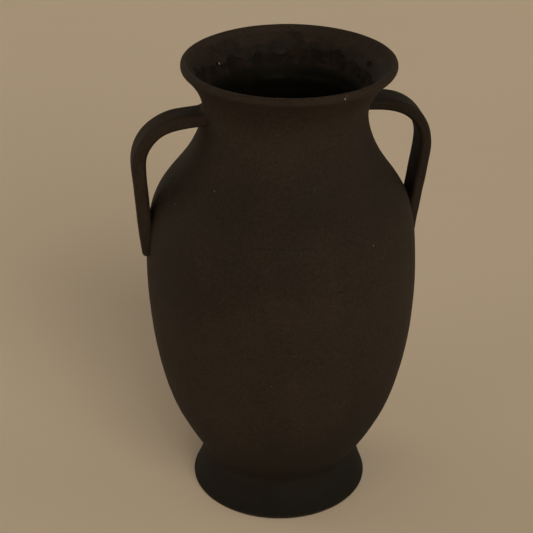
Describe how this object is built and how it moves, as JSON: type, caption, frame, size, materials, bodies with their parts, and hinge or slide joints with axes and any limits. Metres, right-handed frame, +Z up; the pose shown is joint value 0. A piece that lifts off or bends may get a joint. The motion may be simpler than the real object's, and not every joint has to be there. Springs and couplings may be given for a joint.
{
  "type": "clay pot",
  "caption": "Tall shouldered black clay pot with a flared mouth, a pedestal foot and strap handles from neck to shoulder, for flowers, water or dry goods.",
  "frame": {"origin": "centre of the foot at the ground", "axes": "+Z up along the pot's axis of turning, +X through the right handle, -Y towards the front"},
  "size_m": [0.1999, 0.184, 0.32],
  "materials": {
    "black_clay": "matte, smoke-fired black-brown clay, burnished soft",
    "inner_coat": "glossy near-black coat"
  },
  "bodies": {
    "root": {"foot_ring": "black_clay", "base_disc": "black_clay", "lower_body": "black_clay", "upper_body": "black_clay", "neck": "black_clay", "lip": "black_clay", "left_handle": "black_clay", "right_handle": "black_clay", "left_luting": "black_clay", "right_luting": "black_clay", "inner_glaze": "inner_coat"}
  },
  "joints": []
}
